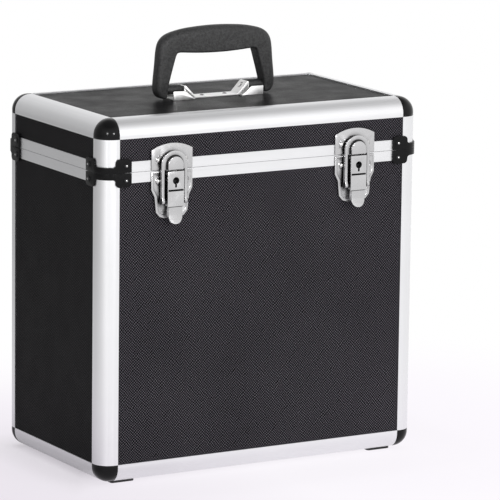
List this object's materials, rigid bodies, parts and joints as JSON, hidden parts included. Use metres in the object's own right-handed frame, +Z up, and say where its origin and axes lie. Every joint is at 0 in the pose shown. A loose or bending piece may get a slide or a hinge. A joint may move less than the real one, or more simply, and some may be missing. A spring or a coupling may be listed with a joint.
{
  "type": "record carrying case",
  "caption": "Hard carrying case for records: dark laminated boards in aluminium edges, hinged lid, draw latches with locks and a folding handle.",
  "frame": {"origin": "on the floor under the middle of the case's shell, in the plane of the feet's undersides", "axes": "+Z up; the latches are on the front, which faces -Y; the lid's hinges are on the back, at +Y; +X is to the right seen from the front"},
  "size_m": [0.3668, 0.2243, 0.4348],
  "materials": {
    "anodised_edge": "satin",
    "closing_profile": "satin",
    "laminate_front": "satin",
    "laminate_side": "satin",
    "laminate_top": "satin",
    "corner_plastic": "gloss",
    "guard_plastic": "gloss",
    "foot_rubber": "matte",
    "lining_foam": "matte",
    "rivet_steel": "polished",
    "latch_nickel": "polished",
    "bracket_nickel": "polished",
    "pin_steel": "satin",
    "hinge_steel": "satin",
    "handle_plastic": "matte"
  },
  "bodies": {
    "case_body": {"front_panel": "laminate_front", "back_panel": "laminate_front", "left_panel": "laminate_side", "right_panel": "laminate_side", "base_panel": "laminate_side", "post_front_left": "anodised_edge", "post_front_right": "anodised_edge", "post_back_left": "anodised_edge", "post_back_right": "anodised_edge", "base_edge_front": "anodised_edge", "base_edge_back": "anodised_edge", "base_edge_left": "anodised_edge", "base_edge_right": "anodised_edge", "body_rim": "closing_profile", "base_corner_front_left": "corner_plastic", "base_corner_front_right": "corner_plastic", "base_corner_back_left": "corner_plastic", "base_corner_back_right": "corner_plastic", "body_guards": "guard_plastic", "feet": "foot_rubber", "body_lining": "lining_foam", "body_rivets": "rivet_steel", "latch_base_left": "latch_nickel", "latch_base_right": "latch_nickel", "lever_pins": "pin_steel", "hinge_body_leaves": "hinge_steel", "hinge_pins": "pin_steel"},
    "case_lid": {"top_panel": "laminate_top", "lid_front_panel": "laminate_front", "lid_back_panel": "laminate_front", "lid_left_panel": "laminate_side", "lid_right_panel": "laminate_side", "lid_posts": "anodised_edge", "top_edge_front": "anodised_edge", "top_edge_back": "anodised_edge", "top_edge_left": "anodised_edge", "top_edge_right": "anodised_edge", "lid_rim": "closing_profile", "top_corner_front_left": "corner_plastic", "top_corner_front_right": "corner_plastic", "top_corner_back_left": "corner_plastic", "top_corner_back_right": "corner_plastic", "lid_guards": "guard_plastic", "lid_lining": "lining_foam", "lid_rivets": "rivet_steel", "catch_left": "latch_nickel", "catch_right": "latch_nickel", "hinge_lid_leaves": "hinge_steel", "handle_bracket": "bracket_nickel", "handle_pins": "pin_steel"},
    "carry_handle": {"handle": "handle_plastic"},
    "latch_lever_left": {"lever_left": "latch_nickel", "loop_pin_left": "pin_steel"},
    "latch_loop_left": {"loop_left": "latch_nickel"},
    "latch_bolt_left": {"lock_bolt_left": "pin_steel"},
    "latch_lever_right": {"lever_right": "latch_nickel", "loop_pin_right": "pin_steel"},
    "latch_loop_right": {"loop_right": "latch_nickel"},
    "latch_bolt_right": {"lock_bolt_right": "pin_steel"}
  },
  "joints": [
    {"name": "lid_hinge", "type": "hinge", "parent": "case_body", "child": "case_lid", "pos_m": [0, 0.1068, 0.3115], "axis": [-1, 0, 0], "range_deg": [0, 100]},
    {"name": "handle_pivot", "type": "hinge", "parent": "case_lid", "child": "carry_handle", "pos_m": [0, 0, 0.3717], "axis": [1, 0, 0], "range_deg": [-90, 90]},
    {"name": "lever_left_pivot", "type": "hinge", "parent": "case_body", "child": "latch_lever_left", "pos_m": [-0.104, -0.1082, 0.3085], "axis": [-1, 0, 0], "range_deg": [0, 105]},
    {"name": "loop_left_pivot", "type": "hinge", "parent": "latch_lever_left", "child": "latch_loop_left", "pos_m": [-0.104, -0.1082, 0.281], "axis": [-1, 0, 0], "range_deg": [-105, 0]},
    {"name": "lock_left_slide", "type": "slide", "parent": "latch_lever_left", "child": "latch_bolt_left", "axis": [0, 0, -1], "range_m": [0, 0.0025]},
    {"name": "lever_right_pivot", "type": "hinge", "parent": "case_body", "child": "latch_lever_right", "pos_m": [0.104, -0.1082, 0.3085], "axis": [-1, 0, 0], "range_deg": [0, 105]},
    {"name": "loop_right_pivot", "type": "hinge", "parent": "latch_lever_right", "child": "latch_loop_right", "pos_m": [0.104, -0.1082, 0.281], "axis": [-1, 0, 0], "range_deg": [-105, 0]},
    {"name": "lock_right_slide", "type": "slide", "parent": "latch_lever_right", "child": "latch_bolt_right", "axis": [0, 0, -1], "range_m": [0, 0.0025]}
  ],
  "couplings": [
    {"joint": "loop_left_pivot", "follows": "lever_left_pivot", "ratio": -1},
    {"joint": "loop_right_pivot", "follows": "lever_right_pivot", "ratio": -1}
  ]
}
